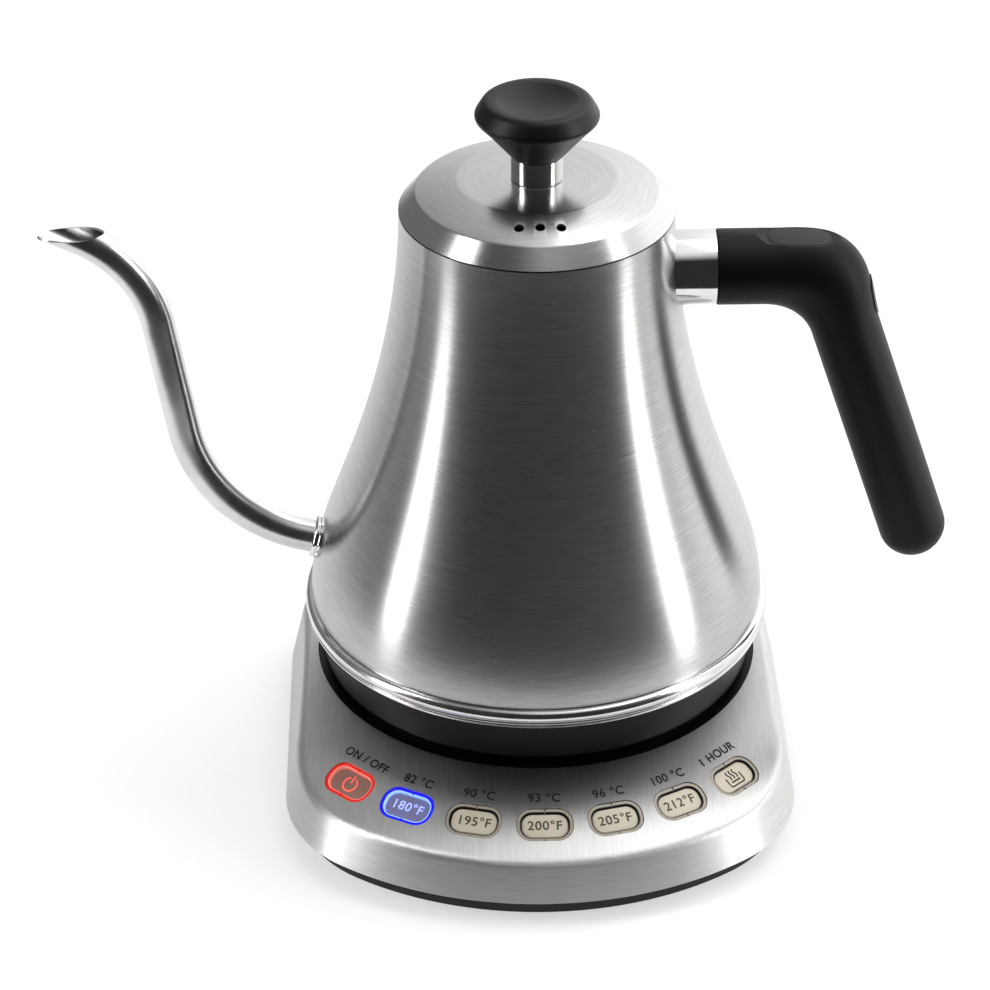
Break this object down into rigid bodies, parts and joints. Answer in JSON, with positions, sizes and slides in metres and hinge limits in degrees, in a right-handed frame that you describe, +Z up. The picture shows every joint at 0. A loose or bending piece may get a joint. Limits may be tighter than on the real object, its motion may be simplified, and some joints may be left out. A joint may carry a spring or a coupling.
{
  "type": "electric kettle",
  "caption": "Electric gooseneck kettle with a tapered steel body, lift-off lid and angled handle, standing on a powered base with a sloping row of push buttons.",
  "frame": {"origin": "on the floor under the kettle's vertical axis, at the centre of the foot ring's standing face", "axes": "+Z up along the kettle's axis, +X towards the handle (the spout points to -X), -Y towards the buttons"},
  "size_m": [0.2852, 0.1894, 0.2314],
  "materials": {
    "brushed_stainless": "circumferential brushing, satin",
    "polished_stainless": "polished",
    "satin_stainless": "satin",
    "black_satin_plastic": "moulded satin",
    "soft_touch_black": "soft-touch coat",
    "grey_inlay": "fine moulded texture",
    "connector_nylon": "moulded",
    "contact_brass": "plain",
    "cap_cream": "translucent moulded",
    "cap_power": "translucent moulded, lit red",
    "cap_preset": "translucent moulded, lit blue",
    "light_pipe_red": "clear moulded, lit red",
    "light_pipe_blue": "clear moulded, lit blue",
    "light_pipe_clear": "clear moulded",
    "foot_rubber": "moulded",
    "white_silicone": "moulded",
    "zinc_steel": "zinc plated",
    "cast_aluminium": "as cast",
    "element_sheath": "oxidised",
    "board_laminate": "solder mask",
    "component_black": "moulded",
    "component_yellow": "taped winding",
    "component_green": "moulded",
    "component_white": "moulded"
  },
  "bodies": {
    "base": {"base_pan": "black_satin_plastic", "base_top_cover": "brushed_stainless", "base_well": "black_satin_plastic", "foot_ring": "foot_rubber", "base_screws": "zinc_steel", "base_connector": "connector_nylon", "connector_contacts": "contact_brass", "power_light_ring": "light_pipe_red", "preset_light_ring": "light_pipe_blue", "unlit_light_rings": "light_pipe_clear", "tact_switches": "component_black", "indicator_lamps": "component_white", "control_board": "board_laminate", "switch_carrier": "black_satin_plastic", "power_board": "board_laminate", "relay": "component_black", "transformer": "component_yellow", "terminal_block": "component_green", "capacitor": "component_black", "buzzer": "component_black", "cord_gland": "black_satin_plastic"},
    "kettle_connector": {"kettle_connector": "connector_nylon", "kettle_pin": "contact_brass", "kettle_contact_rings": "contact_brass"},
    "kettle": {"kettle_shell": "brushed_stainless", "rim_ring": "polished_stainless", "kettle_floor": "satin_stainless", "heat_spreader": "cast_aluminium", "heating_element": "element_sheath", "element_terminals": "contact_brass", "temperature_sensor": "element_sheath", "sensor_seal": "white_silicone", "thermal_cutout": "cast_aluminium", "thermal_fuse": "component_white", "skirt": "black_satin_plastic", "skirt_screws": "zinc_steel", "spout": "satin_stainless", "spout_collar": "polished_stainless", "handle_ferrule": "polished_stainless", "handle_tongue": "satin_stainless", "handle_grip": "soft_touch_black", "handle_screw": "zinc_steel", "thumb_rest": "grey_inlay", "elbow_plug": "grey_inlay"},
    "lid": {"lid_shell": "brushed_stainless", "lid_plate": "satin_stainless", "lid_seal": "white_silicone", "knob_stem": "polished_stainless", "knob": "soft_touch_black", "knob_screw": "zinc_steel"},
    "button_power": {"button_power": "cap_power"},
    "button_180": {"button_180": "cap_preset"},
    "button_195": {"button_195": "cap_cream"},
    "button_200": {"button_200": "cap_cream"},
    "button_205": {"button_205": "cap_cream"},
    "button_212": {"button_212": "cap_cream"},
    "button_hold": {"button_hold": "cap_cream"}
  },
  "joints": [
    {"name": "kettle_lift", "type": "slide", "parent": "base", "child": "kettle_connector", "axis": [0, 0, 1], "range_m": [0, 0.08]},
    {"name": "kettle_swivel", "type": "hinge", "parent": "kettle_connector", "child": "kettle", "pos_m": [0, 0, 0.04], "axis": [0, 0, 1], "continuous": true},
    {"name": "lid_lift", "type": "slide", "parent": "kettle", "child": "lid", "axis": [0, 0, 1], "range_m": [0, 0.06]},
    {"name": "press_power", "type": "slide", "parent": "base", "child": "button_power", "axis": [0.314, 0.3343, -0.8886], "range_m": [0, 0.0006], "stiffness_N_per_m": 400, "springref_m": -0.0005},
    {"name": "press_180", "type": "slide", "parent": "base", "child": "button_180", "axis": [0.221, 0.4019, -0.8886], "range_m": [0, 0.0006], "stiffness_N_per_m": 400, "springref_m": -0.0005},
    {"name": "press_195", "type": "slide", "parent": "base", "child": "button_195", "axis": [0.1141, 0.4442, -0.8886], "range_m": [0, 0.0006], "stiffness_N_per_m": 400, "springref_m": -0.0005},
    {"name": "press_200", "type": "slide", "parent": "base", "child": "button_200", "axis": [0, 0.4587, -0.8886], "range_m": [0, 0.0006], "stiffness_N_per_m": 400, "springref_m": -0.0005},
    {"name": "press_205", "type": "slide", "parent": "base", "child": "button_205", "axis": [-0.1141, 0.4442, -0.8886], "range_m": [0, 0.0006], "stiffness_N_per_m": 400, "springref_m": -0.0005},
    {"name": "press_212", "type": "slide", "parent": "base", "child": "button_212", "axis": [-0.221, 0.4019, -0.8886], "range_m": [0, 0.0006], "stiffness_N_per_m": 400, "springref_m": -0.0005},
    {"name": "press_hold", "type": "slide", "parent": "base", "child": "button_hold", "axis": [-0.314, 0.3343, -0.8886], "range_m": [0, 0.0006], "stiffness_N_per_m": 400, "springref_m": -0.0005}
  ]
}
